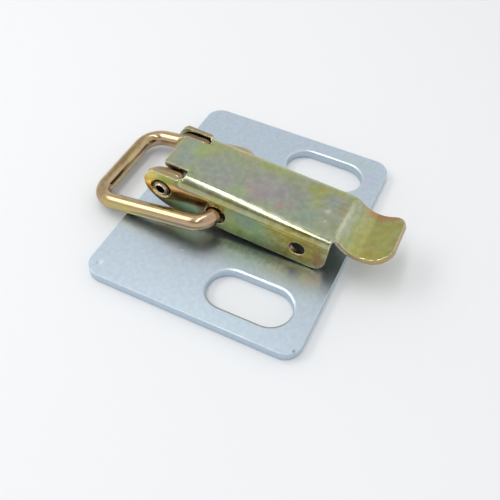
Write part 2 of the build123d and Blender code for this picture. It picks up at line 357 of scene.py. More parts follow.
def fillet(before, corner, after, radius):
    # the arc that touches both runs: its centre lies on their bisector, radius / sin(half the angle) from the
    # corner
    toBefore, toAfter = before - corner, after - corner
    toBefore = toBefore / np.linalg.norm(toBefore)
    toAfter = toAfter / np.linalg.norm(toAfter)
    half = math.acos(float(np.clip(toBefore @ toAfter, -1, 1))) / 2
    middle = (toBefore + toAfter) / np.linalg.norm(toBefore + toAfter)
    centre = corner + middle * radius / math.sin(half)
    first = corner + toBefore * radius / math.tan(half) - centre
    last = corner + toAfter * radius / math.tan(half) - centre
    start = math.atan2(first[1], first[0])
    turn = (math.atan2(last[1], last[0]) - start + math.pi) % (2 * math.pi) - math.pi
    steps = max(3, math.ceil(abs(turn) / math.radians(sheetDrawing["arcStep"])))
    angles = start + turn * np.linspace(0, 1, steps + 1)
    return centre + radius * np.stack((np.cos(angles), np.sin(angles)), 1)


def drawPath(corners, step, closed=True):
    # each corner is (x, y, fillet radius); a run longer than step is cut in equal parts, at
    # start + share * (end - start), so that it can follow a fold
    places = np.array([corner[:2] for corner in corners], float)
    path = []
    for i, corner in enumerate(corners):
        radius = corner[2]
        if radius == 0 or (not closed and i in (0, len(corners) - 1)):
            path.append(places[i : i + 1])
        else:
            path.append(fillet(places[i - 1], places[i], places[(i + 1) % len(corners)], radius))
    path = np.concatenate(path)
    ahead = np.roll(path, -1, 0) if closed else path[1:]
    starts = path[: len(ahead)]
    lengths = np.linalg.norm(ahead - starts, axis=1)
    kept = lengths > sheetDrawing["shortest"]
    starts, ahead, lengths = starts[kept], ahead[kept], lengths[kept]
    parts = np.maximum(1, np.ceil(lengths / step)).astype(int)
    run = np.repeat(np.arange(len(starts)), parts)
    share = (np.arange(len(run)) - np.repeat(np.cumsum(parts) - parts, parts)) / parts[run]
    dense = starts[run] + (ahead - starts)[run] * share[:, None]
    return dense if closed else np.concatenate((dense, path[-1:]))


def circlePath(centre, radius, count):  # centre + radius * (cos(t), sin(t)) once round
    turns = np.linspace(0, 2 * math.pi, count, endpoint=False)
    return np.stack((centre[0] + radius * np.cos(turns), centre[1] + radius * np.sin(turns)), 1)


def insideLoops(points, loops, batch=2000):  # True where a ray towards +x crosses an odd count of borders
    starts = np.concatenate(loops)
    ends = np.concatenate([np.roll(loop, -1, 0) for loop in loops])
    rise = ends[:, 1] - starts[:, 1]
    slope = (ends[:, 0] - starts[:, 0]) / np.where(rise == 0, np.inf, rise)
    inside = []
    for some in np.array_split(points, len(points) // batch + 1):
        x, y = some[:, :1], some[:, 1:]
        spans = (starts[:, 1] > y) != (ends[:, 1] > y)
        crossed = spans & (x < starts[:, 0] + (y - starts[:, 1]) * slope)
        inside.append(crossed.sum(1) % 2 == 1)
    return np.concatenate(inside)


def farFrom(points, others, reach, batch=1000):  # True where no other point lies within reach
    parts = np.array_split(points, len(points) // batch + 1)
    nearest = [((some[:, None] - others[None]) ** 2).sum(2).min(1) for some in parts]
    return np.concatenate(nearest) > reach**2


def roundedRim(radius, half, steps=4):
    # a quarter circle from a cut edge up to the sheet's face, as steps (inset, lift):
    # inset = radius * (1 - cos(t)) and lift = half - radius + radius * sin(t)
    turns = np.linspace(0, math.pi / 2, steps + 1)
    return [(radius * (1 - math.cos(t)), half - radius + radius * math.sin(t)) for t in turns]


def burrRim(radius, half):  # the same in fewer steps, for a sheet's sharper side
    return roundedRim(radius, half, steps=2)


def sunkRim(floor, sink, half, s):  # a countersink: its foot's steps from its floor, then its edge's
    foot = [(inset, floor + lift) for inset, lift in s["sinkFoot"]]
    return foot + [(sink + inset, half + lift) for inset, lift in s["sinkEdge"]]


def pulledRim(s, half):
    # a pulled-in edge above the wall's last steps: lift = half - depth * (1 - share) ** bow
    lifts = half - s["depth"] * (1 - np.array(s["shares"])) ** s["bow"]
    wall = [(inset, lifts[0] - drop) for inset, drop in s["wall"]]
    return wall + [(s["start"] + s["width"] * share, lift) for share, lift in zip(s["shares"], lifts)]


def meshPiece(name, places, faces, **marks):
    # places in mm; faces: arrays with one face per row; marks: values kept at the vertices
    mesh = bpy.data.meshes.new(name)
    corners = np.concatenate([np.asarray(f).ravel() for f in faces])
    sizes = np.concatenate([np.full(len(f), np.shape(f)[1]) for f in faces])
    mesh.vertices.add(len(places))
    mesh.loops.add(len(corners))
    mesh.polygons.add(len(sizes))
    mesh.vertices.foreach_set("co", (np.asarray(places) * mm).astype(np.float32).ravel())
    mesh.loops.foreach_set("vertex_index", corners.astype(np.int32))
    mesh.polygons.foreach_set("loop_start", (np.cumsum(sizes) - sizes).astype(np.int32))
    mesh.polygons.foreach_set("use_smooth", np.ones(len(sizes), bool))
    mesh.update(calc_edges=True)
    mesh.validate()
    for mark, values in marks.items():
        mesh.attributes.new(mark, "FLOAT", "POINT").data.foreach_set("value", np.asarray(values, np.float32))
    piece = bpy.data.objects.new(name, mesh)
    collection.objects.link(piece)
    print(name, len(mesh.vertices), "vertices")
    return piece


def outwardFaces(places, faces):
    # faces are turned over if the volume they close is negative: a sum of a . (b x c) over their triangles
    volume = 0.0
    for rows in faces:
        fan = [(rows[:, 0], rows[:, i], rows[:, i + 1]) for i in range(1, rows.shape[1] - 1)]
        volume += sum(np.einsum("ij,ij->", places[a], np.cross(places[b], places[c])) for a, b, c in fan)
    return faces if volume > 0 else [rows[:, ::-1] for rows in faces]


def gridOf(across, along):  # every pairing of an across with an along, as points
    a, b = np.meshgrid(across, along)
    return np.stack((a.ravel(), b.ravel()), 1)


def foldGrid(start, arc, outer, s):
    # lines across a blank that folds from start over arc: close together in the fold, wider apart beside it,
    # out to outer and mirrored
    bend = start + np.linspace(-s["margin"], arc + s["margin"], s["bendLines"])
    inner = np.arange(0, bend[0] - s["innerClear"], s["innerGap"])
    lines = np.concatenate((inner, bend, np.arange(bend[-1] + s["outerClear"], outer, s["outerGap"])))
    return np.concatenate((-lines[:0:-1], lines))


def borderRows(path, outer):
    # The outer border runs anticlockwise and holes run clockwise, told by their signed area; inward is the
    # run turned a quarter to the left.
    area = 0.5 * np.sum(path[:, 0] * np.roll(path[:, 1], -1) - path[:, 1] * np.roll(path[:, 0], -1))
    if (area > 0) != outer:
        path = path[::-1]
    run = np.roll(path, -1, 0) - np.roll(path, 1, 0)
    return path, np.stack((-run[:, 1], run[:, 0]), 1) / np.linalg.norm(run, axis=1)[:, None]


def fillBorders(borders, fill, side):
    # the fill points that lie clear inside the borders, and the Delaunay triangles over both, facing side
    border = np.concatenate(borders)
    inner = fill[insideLoops(fill, borders)]
    inner = inner[farFrom(inner, border, sheetDrawing["clear"])]
    points = np.concatenate((border, inner))
    starts = np.cumsum([0] + [len(loop) for loop in borders])
    rings = [first + np.arange(len(loop)) for first, loop in zip(starts, borders)]
    links = np.concatenate([np.stack((ring, np.roll(ring, -1)), 1) for ring in rings])
    found = delaunay_2d_cdt(list(map(Vector, points)), links.tolist(), [], 0, sheetDrawing["same"])
    origin = np.array([source[0] for source in found[3]])
    triangles = origin[np.array(found[2])]
    triangles = triangles[insideLoops(points[triangles].mean(1), borders)]
    corners = points[triangles]
    turn = np.cross(corners[:, 1] - corners[:, 0], corners[:, 2] - corners[:, 0])
    wrong = (turn < 0) != (side < 0)
    triangles[wrong] = triangles[wrong][:, ::-1]
    return inner, triangles


def sheetPiece(name, loops, fill, fold):
    # A folded sheet: borders and inner points are drawn flat, joined, and carried to place by the fold.
    # loops: (path, rim above, rim below), the outer border first. A rim is a list of steps (inset, lift),
    # and each step is a row of points path + inward * inset.
    # fold: takes flat places (across, along) and a lift off the middle of the sheet to places in mm
    flats, lifts, edges, dulls, faces = [], [], [], [], []
    total = 0
    guards = {1: [], -1: []}
    for number, (path, above, below) in enumerate(loops):
        path, inward = borderRows(path, number == 0)
        count = len(path)
        rows = {1: [], -1: []}
        for side, rim in ((1, above), (-1, below)):
            steps = [*rim, (rim[-1][0] + sheetDrawing["guard"], rim[-1][1])]
            for k, (inset, lift) in enumerate(steps):
                rows[side].append(total)
                flats.append(path + inward * inset)
                lifts.append(np.full(count, side * lift))
                edges.append(np.full(count, 0.0 if k in (0, len(steps) - 1) else 1.0))
                dulls.append(np.full(count, 1.0 if k == 0 else 0.0))
                total += count
            guards[side].append((rows[side][-1], flats[-1]))
        ring = np.arange(count)
        ahead = (ring + 1) % count
        chain = rows[-1][::-1] + rows[1]
        for low, high in zip(chain, chain[1:]):
            faces.append(np.stack((low + ring, low + ahead, high + ahead, high + ring), 1))
    _, above, below = loops[0]
    for side, rim in ((1, above), (-1, below)):
        inner, triangles = fillBorders([loop for _, loop in guards[side]], fill, side)
        ids = [start + np.arange(len(loop)) for start, loop in guards[side]] + [total + np.arange(len(inner))]
        faces.append(np.concatenate(ids)[triangles])
        flats.append(inner)
        lifts.append(np.full(len(inner), side * rim[-1][1]))
        edges.append(np.zeros(len(inner)))
        dulls.append(np.zeros(len(inner)))
        total += len(inner)
    places = fold(np.concatenate(flats), np.concatenate(lifts))
    return meshPiece(name, places, faces, edge=np.concatenate(edges), dull=np.concatenate(dulls))


pivotPlace = hinges["lever_hinge"]

leverSheet = {
    # mm; along and up are measured from the pivot, in the closed lever's own directions
    "lean": 3.5444,  # degrees that the closed lever leans back down
    "thickness": 1.6, "half": 11.1, "foldRadius": 3.4,
    "crown": 6.3, "skirt": 6.2, "length": 51.3, "skirtCorner": 4.0,
    "noseRadius": 5.5, "noseRise": 1.25, "noseCorner": 1.2,
    "noseTurn": 7,  # degrees taken by the nose's corner
    "heelRadius": 12.6, "earTop": 5.9, "noseSteps": 26, "heelSteps": 14,
    "slit": 6.2, "slitMiddle": 7.6, "slitCorner": 0.25, "slitCurl": 1.3,
    "tongueHalf": 6.4, "tongueFront": -1.6, "tongueCorner": 0.8,
    "neckHalf": 9.06, "tipHalf": 8.9, "neckCorner": 0.8, "nearCorner": 5.3, "farCorner": 3.4,
    "tab": {
        "flat": 0.1, "downRadius": 2.6, "downAngle": 37.0,
        "ramp": 0.8, "upRadius": 9.0, "upAngle": 63.0, "tip": 4.8,
    },
    "tabFade": (0.1, 1.3),  # where the fold dies out, behind the crown's end
    "pivotHole": 2.45, "pivotSink": 3.3, "sinkDepth": 0.6,
    "sinkFoot": ((0, -0.06), (0.03, 0), (0.08, 0.05)),
    "sinkEdge": ((-0.10, -0.09), (-0.02, -0.035), (0.06, -0.005), (0.16, 0)),
    "loopHole": (17.6, -1.33, 3.0), "pinHole": (42.7, -0.83, 2.25),  # along, up, radius
    "pivotSides": 48, "holeSides": 56,
    "rim": 0.28, "holeRim": 0.35, "burr": 0.12,
    "step": 0.45, "fillFront": -6.0, "crownGap": 0.75, "tabGap": 0.42, "sideReach": 7,
    "grid": {
        "margin": 0.25, "bendLines": 18,
        "innerClear": 0.4, "innerGap": 1.5, "outerClear": 1.2, "outerGap": 1.5,
    },
}


def slopedPlace(origin, slope, way, across, along, up):
    # a sloping plane's own directions, to mm: origin + across * sideways + along * forward + up * rise, where
    # forward runs with the Y axis or, for a way of -1, against it, and goes down by the slope
    slope = math.radians(slope)
    forward = np.array((0, way * math.cos(slope), -math.sin(slope)))
    rise = np.array((0, way * math.sin(slope), math.cos(slope)))
    place = np.array(origin) + np.multiply.outer(across, np.array((1.0, 0, 0)))
    return place + np.multiply.outer(along, forward) + np.multiply.outer(up, rise)


def closedPose(along, up, across=0.0):  # a place in the closed lever's own directions
    return slopedPlace(pivotPlace, leverSheet["lean"], 1, across, along, up)


def tabLine(s):
    # the tab's middle line, as run and rise from the crown's back edge, and its slope: a flat, an arc down,
    # a straight ramp, an arc up and a straight tip, each adding its share of the length s. An arc adds
    # radius * sin(turn) to the run and radius * (1 - cos(turn)) to the drop.
    tab = leverSheet["tab"]
    down, up = math.radians(tab["downAngle"]), math.radians(tab["upAngle"])
    run, rise, slope = np.minimum(s, tab["flat"]), np.zeros_like(s), np.zeros_like(s)
    left = s - tab["flat"]
    turn = np.clip(left, 0, tab["downRadius"] * down) / tab["downRadius"]
    run, rise = run + tab["downRadius"] * np.sin(turn), rise - tab["downRadius"] * (1 - np.cos(turn))
    slope = slope - turn
    left = left - tab["downRadius"] * down
    straight = np.clip(left, 0, tab["ramp"])
    run, rise = run + straight * math.cos(down), rise - straight * math.sin(down)
    left = left - tab["ramp"]
    curl = np.clip(left, 0, tab["upRadius"] * up) / tab["upRadius"]
    run = run + tab["upRadius"] * (np.sin(curl - down) + math.sin(down))
    rise = rise + tab["upRadius"] * (math.cos(down) - np.cos(curl - down))
    slope = slope + curl
    tip = np.maximum(left - tab["upRadius"] * up, 0)
    return run + tip * np.cos(slope), rise + tip * np.sin(slope), slope


def foldLeft(along, end, fade):  # the share of a fold that is left: 1, falling to almost 0 behind its end
    return 1 - sheetDrawing["dieOut"] * softStep(along, end + fade[0], end + fade[1])


def foldLever(flat, lift):
    # Over the fold the sheet turns by (distance past the fold's start) / radius, so that
    # across = start + radius * sin(turn) and drop = radius * (1 - cos(turn)); the lift runs along the normal.
    s = leverSheet
    across, along = np.abs(flat[:, 0]), flat[:, 1]
    side = np.where(flat[:, 0] < 0, -1.0, 1.0)
    radius = s["foldRadius"] - s["thickness"] / 2
    start = s["half"] - s["foldRadius"]
    arc = radius * math.pi / 2
    fade = foldLeft(along, s["length"], s["tabFade"])
    turn = np.clip(across - start, 0, arc) / radius * fade
    x = np.minimum(across, start) + radius / fade * np.sin(turn) + lift * np.sin(turn)
    drop = radius / fade * (1 - np.cos(turn)) + np.maximum(across - start - arc, 0)
    height = lift * np.cos(turn) - drop
    middle = s["crown"] - s["thickness"] / 2
    run, sink, slope = tabLine(np.maximum(along - s["length"], 0))
    onTab = along > s["length"]
    place = np.where(onTab, s["length"] + run - height * np.sin(slope), along)
    rise = np.where(onTab, middle + sink + height * np.cos(slope), middle + height)
    # beside the slits the ears go straight up in place of the fold, and curl into it at the slits' ends
    up = arc + start - across
    ear = (along < s["slit"]) & (across > s["slitMiddle"])
    curl = np.maximum(softStep(along, s["slit"] - s["slitCurl"], s["slit"]), 1 - sheetDrawing["dieOut"])
    earTurn = np.clip(up, 0, None) / radius * curl
    earX = s["half"] - s["thickness"] / 2 - radius / curl * (1 - np.cos(earTurn)) + lift * np.cos(earTurn)
    earUp = np.where(up > 0, radius / curl * np.sin(earTurn), up)
    earRise = s["crown"] - s["foldRadius"] + earUp + lift * np.sin(earTurn)
    return closedPose(place, np.where(ear, earRise, rise), side * np.where(ear, earX, x))


def leverBorder(origin):
    # The flat blank's outline; origin: the pivot's height, as a distance across the flat sheet. The nose's
    # circle and the heel's touch where the line through their centres meets both.
    s, tab = leverSheet, leverSheet["tab"]
    nose = s["noseRadius"]
    top = s["earTop"] - s["noseRise"]
    noseStart = -math.sqrt(nose**2 - top**2)
    heelRise = s["heelRadius"] - s["skirt"]
    heelAlong = math.sqrt((s["heelRadius"] - nose) ** 2 - (heelRise - s["noseRise"]) ** 2)
    meet = math.degrees(math.atan2(s["noseRise"] - heelRise, -heelAlong)) + 360
    firstTurn = math.degrees(math.atan2(top, noseStart)) + s["noseTurn"]
    side = [(noseStart, s["earTop"], s["noseCorner"])]
    side += arcPoints((0, s["noseRise"]), nose, firstTurn, meet, s["noseSteps"])
    side += arcPoints((heelAlong, heelRise), s["heelRadius"], meet, 270, s["heelSteps"])[1:]
    side += [(s["length"], -s["skirt"], s["skirtCorner"])]
    end = s["length"] + tab["flat"] + tab["ramp"] + tab["tip"]
    end += tab["downRadius"] * math.radians(tab["downAngle"]) + tab["upRadius"] * math.radians(tab["upAngle"])
    right = [
        (s["tongueHalf"], s["tongueFront"], s["tongueCorner"]),
        (s["tongueHalf"], s["slit"], s["slitCorner"]),
        (origin - s["earTop"], s["slit"], s["slitCorner"]),
        *[(origin - up, along, corner) for along, up, corner in side],
        (s["neckHalf"], s["length"], s["neckCorner"]),
    ]
    left = [(-across, along, corner) for across, along, corner in right[::-1]]
    tip = [(s["tipHalf"], end, s["nearCorner"]), (-s["tipHalf"], end, s["farCorner"])]
    return [*right, *tip, *left], end


def makeLever():
    # on the flat blank a height on the lever's side lies at origin - height across; past start + arc, where
    # the fold ends, the side hangs straight down
    s = leverSheet
    half = s["thickness"] / 2
    arc = (s["foldRadius"] - half) * math.pi / 2
    start = s["half"] - s["foldRadius"]
    origin = start + arc + s["crown"] - s["foldRadius"]
    border, end = leverBorder(origin)
    burr = burrRim(s["burr"], half)
    loops = [(drawPath(border, s["step"]), roundedRim(s["rim"], half), burr)]
    sinkRim = sunkRim(half - s["sinkDepth"], s["pivotSink"] - s["pivotHole"], half, s)
    for way in (1, -1):
        loops.append((circlePath((way * origin, 0), s["pivotHole"], s["pivotSides"]), sinkRim, burr))
        for along, up, hole in (s["loopHole"], s["pinHole"]):
            path = circlePath((way * (origin - up), along), hole, s["holeSides"])
            loops.append((path, roundedRim(s["holeRim"], half), burr))
    lines = foldGrid(start, arc, origin + s["sideReach"], s["grid"])
    crownRuns = np.arange(s["fillFront"], s["length"], s["crownGap"])
    runs = np.concatenate((crownRuns, np.arange(s["length"], end, s["tabGap"])))
    return sheetPiece("leverPressing", loops, gridOf(lines, runs), foldLever)


plateSheet = {
    # mm; the slots and the rivets are placed from the frame's origin
    "half": (40.0, 32.0), "corner": 5.0, "thickness": 3.0, "slot": (27.8, 13.4), "slotSize": (13.0, 25.0),
    "rivets": (-12.0, 5.0), "rivetHole": 2.05, "rivetSides": 40, "rivetRim": 0.1,
    "sink": 3.55, "sinkFoot": ((0, 0), (0.04, 0.04)), "sinkEdge": ((-0.03, -0.03), (0.05, 0)),
    "slotRim": {
        "width": 0.6, "depth": 0.22, "bow": 1.3, "start": 0.08,
        "shares": (0, 0.2, 0.45, 0.7, 0.88, 1.0), "wall": ((0.0, 0.12), (0.03, 0.04)),
    },
    "rim": 0.12, "burr": 0.15,
    "step": 3.0, "slotStep": 2.0, "fillInset": 2, "fillGap": 4.0,
    "slotFlat": 0.001,  # what stays straight at a slot's end, so that each of its two arcs has a corner
}


def layPlate(flat, lift):  # the plate stays flat: height = lift + thickness / 2, above what it is mounted on
    return np.stack((flat[:, 0], flat[:, 1], lift + plateSheet["thickness"] / 2), 1)


def makePlate():  # a flat sheet; each slot is a rectangle whose corners are rounded by half its width
    s = plateSheet
    half = s["thickness"] / 2
    ways = ((-1, -1), (1, -1), (1, 1), (-1, 1))
    border = [(wayX * s["half"][0], wayY * s["half"][1], s["corner"]) for wayX, wayY in ways]
    under = burrRim(s["burr"], half)
    loops = [(drawPath(border, s["step"]), roundedRim(s["rim"], half), under)]
    wide, long = s["slotSize"][0] / 2, s["slotSize"][1] / 2
    for side in (-1, 1):
        x, y = side * s["slot"][0], s["slot"][1]
        ends = [(x + wayX * wide, y + wayY * long, wide - s["slotFlat"]) for wayX, wayY in ways]
        loops.append((drawPath(ends, s["slotStep"]), pulledRim(s["slotRim"], half), under))
    sink = s["sink"] - s["rivetHole"]
    rims = burrRim(s["rivetRim"], half), sunkRim(half - sink, sink, half, s)
    for row in s["rivets"]:
        loops.append((circlePath((0, row), s["rivetHole"], s["rivetSides"]), *rims))
    reaches = [reach - s["fillInset"] for reach in s["half"]]
    fill = gridOf(*[np.arange(-reach, reach + 1, s["fillGap"]) for reach in reaches])
    return sheetPiece("basePlate", loops, fill, layPlate)


bracketSheet = {
    # mm; front, back, foot and tailEnd are places along Y; height and slope are measured up from the plate
    "half": 9.05, "thickness": 2.0, "inside": 1.0, "front": -28.6, "back": -16.2, "height": 14.5,
    "foot": -21.5, "footCorner": 1.5, "slope": 6.2, "slopeCorner": 2.0, "frontCorner": 5.4, "backCorner": 3.0,
    "tailHalf": 7.5, "tailEnd": 10.5, "tailCorner": 4.0, "neckCorner": 0.6,
    "tailFade": (0.05, 0.8),  # where the fold dies out, behind the ears
    "holeSides": 40, "rim": 0.36, "burr": 0.12,
    "step": 0.5, "runGap": 0.9,
    "grid": {
        "margin": 0.2, "bendLines": 14,
        "innerClear": 0.4, "innerGap": 1.6, "outerClear": 1.2, "outerGap": 1.8,
    },
}


def foldBracket(flat, lift):
    # The ears turn up over a fold: across = start + radius * sin(turn), height = radius * (1 - cos(turn)),
    # and the fold dies out into the flat tail behind them.
    s = bracketSheet
    half = s["thickness"] / 2
    radius = s["inside"] + half
    arc = radius * math.pi / 2
    start = s["half"] - half - radius
    across, along = np.abs(flat[:, 0]), flat[:, 1]
    side = np.where(flat[:, 0] < 0, -1.0, 1.0)
    fade = foldLeft(along, s["back"], s["tailFade"])
    turn = np.clip(across - start, 0, arc) / radius * fade
    x = np.minimum(across, start) + radius / fade * np.sin(turn) - lift * np.sin(turn)
    z = radius / fade * (1 - np.cos(turn)) + np.maximum(across - start - arc, 0) + lift * np.cos(turn)
    return np.stack((side * x, along, plateSheet["thickness"] + half + z), 1)


def makeBracket():  # on the flat blank a height on an ear lies at origin + height across
    s = bracketSheet
    half = s["thickness"] / 2
    radius = s["inside"] + half
    arc = radius * math.pi / 2
    start = s["half"] - half - radius
    seat = plateSheet["thickness"]
    origin = start + arc - (seat + half + radius)  # the flat place of height 0
    top = origin + seat + s["height"]
    right = [
        (start, s["foot"], s["footCorner"]),
        (origin + seat + s["slope"], s["front"], s["slopeCorner"]),
        (top, s["front"], s["frontCorner"]),
        (top, s["back"], s["backCorner"]),
        (s["tailHalf"], s["back"], s["neckCorner"]),
        (s["tailHalf"], s["tailEnd"], s["tailCorner"]),
    ]
    corners = [*right, *[(-across, along, corner) for across, along, corner in right[::-1]]]
    rim, burr = roundedRim(s["rim"], half), burrRim(s["burr"], half)
    loops = [(drawPath(corners, s["step"]), rim, rim)]
    holes = [((way * (origin + pivotPlace[2]), pivotPlace[1]), leverSheet["pivotHole"]) for way in (1, -1)]
    holes += [((0, row), plateSheet["rivetHole"]) for row in plateSheet["rivets"]]
    loops += [(circlePath(centre, hole, s["holeSides"]), burr, burr) for centre, hole in holes]
    fill = gridOf(foldGrid(start, arc, top, s["grid"]), np.arange(s["front"], s["tailEnd"], s["runGap"]))
    return sheetPiece("earBracket", loops, fill, foldBracket)


wireShape = {
    # mm; the slope, from the pins down to the front bar, is in degrees
    "pin": hinges["loop_hinge"], "slope": 9.2254, "radius": 2.38, "half": 15.9, "reach": 37.84,
    "pinInner": 7.0, "hook": 4.8, "corner": 6.1, "sides": 40, "step": 1.0,
    "endRound": 0.35, "capSteps": 4,
    "flatten": 0.35, "mostFlat": 0.09, "flatRise": 0.12,  # how a bend flattens the section
    "bendBlur": 3,  # points to each side over which a bend's sharpness is averaged
    "innerLean": 0.35, "dullFrom": (0.55, 0.85),  # the painted underside shade's lean to the inner side, and its border
}


def wirePlace(across, along, up=0.0):  # a place in the wire loop's plane, which slopes down to its front bar
    return slopedPlace(wireShape["pin"], wireShape["slope"], -1, across, along, up)


def makeWire():
    # The section's ring, middle + radius * (cos(t) * outward + sin(t) * up), is carried along the bent middle
    # line; in a bend it gets a little narrower across and higher, and its ends are closed by rounded caps.
    s = wireShape
    corners = [(s["pinInner"], 0, 0), (s["half"], 0, s["hook"]), (s["half"], s["reach"], s["corner"])]
    corners += [(-x, y, r) for x, y, r in corners[::-1]]
    line = drawPath(corners, s["step"], closed=False)
    run = np.gradient(line, axis=0)
    spacing = np.linalg.norm(run, axis=1)
    run /= spacing[:, None]
    bend = np.linalg.norm(np.gradient(run, axis=0), axis=1) / spacing
    blur = 2 * s["bendBlur"] + 1
    bend = np.convolve(np.pad(bend, s["bendBlur"], mode="edge"), np.ones(blur) / blur, "valid")
    clear = np.min([np.linalg.norm(line - line[end], axis=1) for end in (0, -1)], axis=0) > s["endRound"]
    caps = np.radians(np.linspace(0, 90, s["capSteps"] + 1))[:-1]
    capRadius = s["radius"] - s["endRound"] * (1 - np.sin(caps))
    capBack = (s["endRound"] * (1 - np.cos(caps)))[:, None]
    capFlat = np.zeros(len(caps))
    outward = np.stack((-run[:, 1], run[:, 0]), 1)
    middles = np.concatenate((line[0] + run[0] * capBack, line[clear], (line[-1] - run[-1] * capBack)[::-1]))
    capSides = [np.tile(outward[end], (len(caps), 1)) for end in (0, -1)]
    sideways = np.concatenate((capSides[0], outward[clear], capSides[1]))
    radius = np.concatenate((capRadius, np.full(clear.sum(), s["radius"]), capRadius[::-1]))
    flat = np.concatenate((capFlat, np.minimum(bend[clear] * s["flatten"], s["mostFlat"]), capFlat))
    around = np.linspace(0, 2 * math.pi, s["sides"], endpoint=False)
    wide = np.cos(around)[None, :] * (radius * (1 - s["flatten"] * flat))[:, None]
    high = np.sin(around)[None, :] * (radius * (1 + s["flatRise"] * flat))[:, None]
    plane = middles[:, None, :] + wide[:, :, None] * sideways[:, None, :]
    places = wirePlace(plane[:, :, 0].ravel(), plane[:, :, 1].ravel(), high.ravel())
    index = np.arange(len(places)).reshape(len(middles), s["sides"])
    ahead = np.roll(index, -1, 1)
    sides = np.stack((index[:-1], index[1:], ahead[1:], ahead[:-1]), 2).reshape(-1, 4)
    faces = outwardFaces(places, [sides, index[:1], index[-1:, ::-1]])
    # painted shade lies on the underside and leans to the loop's inner side: -sin(t) - innerLean * cos(t)
    under = -np.tile(np.sin(around) + s["innerLean"] * np.cos(around), len(middles))
    return meshPiece("wireLoop", places, faces, dull=softStep(under, *s["dullFrom"]))


def turnedPiece(name, parts, sides=64):
    # parts: (profile, centre, axis); a profile is a list of (along the axis, radius, dull film and painted
    # shade), and each
    # of its points is turned round the axis: centre + axis * along + radius * (cos(t) * first + sin(t) *
    # second)
    places, faces, dulls = [], [], []
    total = 0
    around = np.linspace(0, 2 * math.pi, sides, endpoint=False)
    for profile, centre, axis in parts:
        along, radius, dull = np.array(profile, float).T
        axis = np.array(axis, float)
        first = np.cross(axis, (0, 0, 1) if abs(axis[2]) < 0.5 else (1, 0, 0))
        first /= np.linalg.norm(first)
        ring = np.cos(around)[:, None] * first + np.sin(around)[:, None] * np.cross(axis, first)
        own = np.array(centre) + axis * along[:, None, None] + ring[None] * radius[:, None, None]
        own = own.reshape(-1, 3)
        index = np.arange(len(own)).reshape(-1, sides)
        ownDullAndShade = np.repeat(dull, sides)
        if radius[0] > 0:  # a tube: its last ring joins its first
            index = np.concatenate((index, index[:1]))
            caps = []
        else:  # a solid: its first and last rings are single points
            own = np.concatenate((own[sides:-sides], own[:1], own[-1:]))
            ownDullAndShade = np.concatenate((ownDullAndShade[sides:-sides], ownDullAndShade[:1], ownDullAndShade[-1:]))
            index = index[:-2]
            start, end = np.full(sides, len(own) - 2), np.full(sides, len(own) - 1)
            caps = [np.stack((start, np.roll(index[0], -1), index[0]), 1)]
            caps += [np.stack((end, index[-1], np.roll(index[-1], -1)), 1)]
        ahead = np.roll(index, -1, 1)
        walls = np.stack((index[:-1], ahead[:-1], ahead[1:], index[1:]), 2).reshape(-1, 4)
        faces += [rows + total for rows in outwardFaces(own, [walls, *caps])]
        places.append(own)
        dulls.append(ownDullAndShade)
        total += len(own)
    return meshPiece(name, np.concatenate(places), faces, dull=np.concatenate(dulls))


rivetShape = {
    # mm
    "back": 10.95, "front": 11.65, "shank": 2.4,  # the pivot rivet's lip lies between back and front
    "bore": 1.34, "boreDepth": 0.9, "boreTop": 0.2,
    "crest": (1.66, 0.32), "crestFoot": 0.25, "crestTurn": 165, "crestSteps": 14,  # turn in degrees
    "crestPaintedShade": (0.6, 0.25),  # up to which turn, in radians, the crest carries painted shade, and how much
    "slope": ((0.2, 2.1, 0.7), (0.1, 2.45, 0.8), (0.04, 2.62, 0.9), (0, 2.56, 1.0)),  # lift, radius, painted shade
    "shankDepth": 0.3,
    "sunkHead": 3.4, "sunkFlare": 0.08, "sunkDepth": 1.5, "tailShank": 2.0,
    "domeHeight": 1.8, "domeRadius": 3.8, "domeRim": 0.1, "domeFoot": 0.15,
    "domeStart": 0.97, "domeSteps": 10,
}


def makePivotRivet():
    # the rolled lip's crest is a half circle, radius = middle - width * cos(t) at foot + rise * sin(t), and
    # the lip then slopes down to its rim
    s = rivetShape
    middle, width = s["crest"]
    foot = s["back"] + s["crestFoot"]
    rise = s["front"] - s["back"] - s["crestFoot"]
    dullTurn, dullAmount = s["crestPaintedShade"]
    turns = np.radians(np.linspace(0, s["crestTurn"], s["crestSteps"]))
    # the third values paint shade into the bore, the crest's inner turn, the slope round the lip and the
    # shank
    lip = [(s["back"] - s["boreDepth"], s["bore"], 1.0), (s["back"] - s["boreTop"], s["bore"], 1.0)]
    for t in turns:
        lip.append((foot + rise * math.sin(t), middle - width * math.cos(t), dullAmount * (t < dullTurn)))
    lip += [(s["back"] + lift, radius, dull) for lift, radius, dull in s["slope"]]
    lip += [(s["back"], s["shank"], 1.0), (s["back"] - s["shankDepth"], s["shank"], 1.0)]
    profile = lip + [(-along, radius, dull) for along, radius, dull in lip[::-1]]
    return turnedPiece("rolledRivet", [(profile, pivotPlace, (1, 0, 0))])


def makeBaseRivets():
    # the upset head is a dome: height = foot + rise * (1 - (radius / domeRadius) ** 2)
    s = rivetShape
    seat = plateSheet["thickness"] + bracketSheet["thickness"]
    radii = s["domeRadius"] * np.linspace(s["domeStart"], 0, s["domeSteps"])
    rise = s["domeHeight"] - s["domeFoot"]
    profile = [
        (0.0, 0.0, 0), (0.0, s["sunkHead"], 0), (s["sunkFlare"], s["sunkHead"] + s["sunkFlare"], 0),
        (s["sunkDepth"], s["tailShank"], 0), (seat, s["tailShank"], 0),
        (seat, s["domeRadius"] - s["domeRim"], 0), (seat + s["domeRim"], s["domeRadius"], 0),
    ]
    profile += [(seat + s["domeFoot"] + rise * (1 - (r / s["domeRadius"]) ** 2), r, 0.0) for r in radii]
    return turnedPiece("tailRivets", [(profile, (0, row, 0), (0, 0, 1)) for row in plateSheet["rivets"]])


def multiplyBy(tree, color, shade):  # a colour times a grey value
    grey = put(tree, "CombineColor", {0: shade, 1: shade, 2: shade}).outputs[0]
    return mixColor(tree, 1.0, color, grey, "MULTIPLY")


